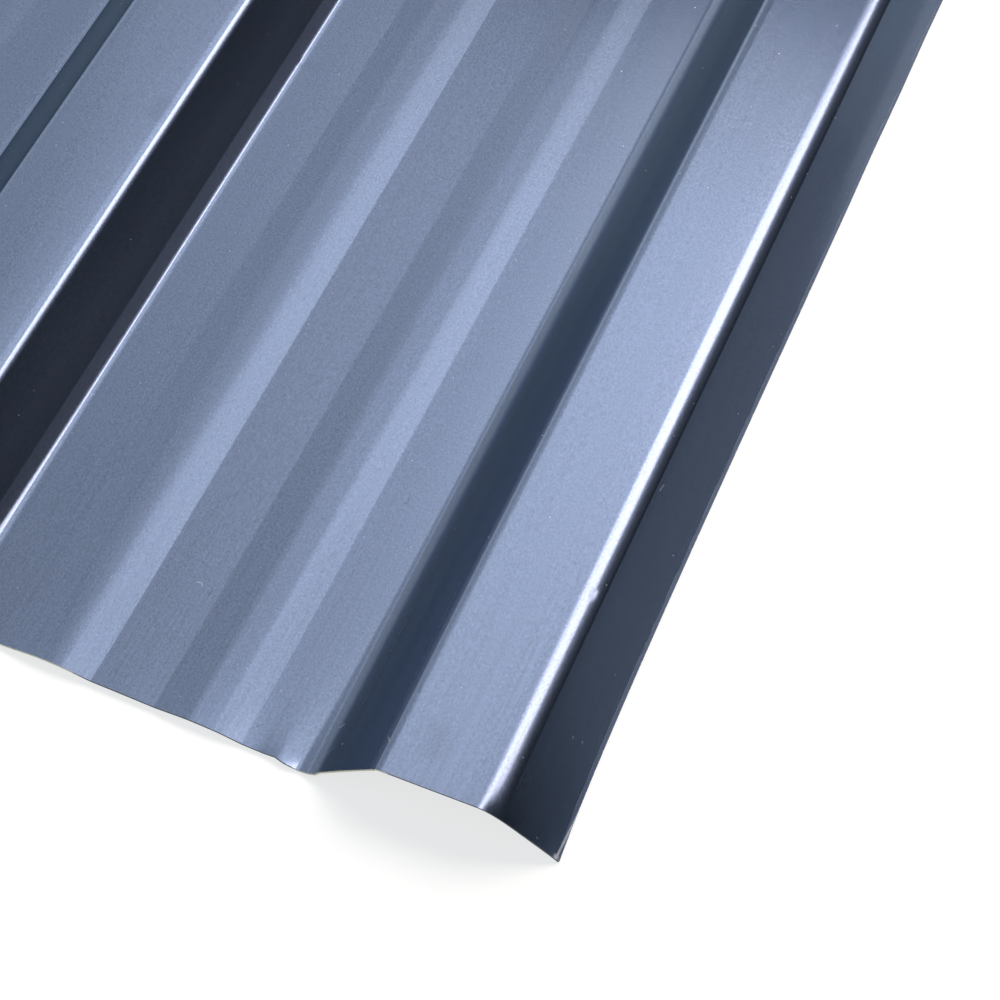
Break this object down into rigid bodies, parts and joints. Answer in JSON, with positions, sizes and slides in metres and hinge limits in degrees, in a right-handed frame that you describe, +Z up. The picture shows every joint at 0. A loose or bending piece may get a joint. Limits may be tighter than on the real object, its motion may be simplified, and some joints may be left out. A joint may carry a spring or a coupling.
{
  "type": "trapezoidal corrugated metal sheet",
  "caption": "Roll-formed trapezoidal steel roofing and cladding sheet with flat-topped ribs, swaged pans and a blue-grey coating.",
  "frame": {"origin": "middle of the sheet in plan, on the surface that its pans lie on", "axes": "+X across the ribs, +Y along the ribs, +Z up from the pans to the rib crowns"},
  "size_m": [1.074, 2, 0.0207],
  "materials": {
    "coated_steel": "semi-gloss blue-grey coating with a fine grain"
  },
  "bodies": {
    "root": {"corrugated_sheet": "coated_steel"}
  },
  "joints": []
}
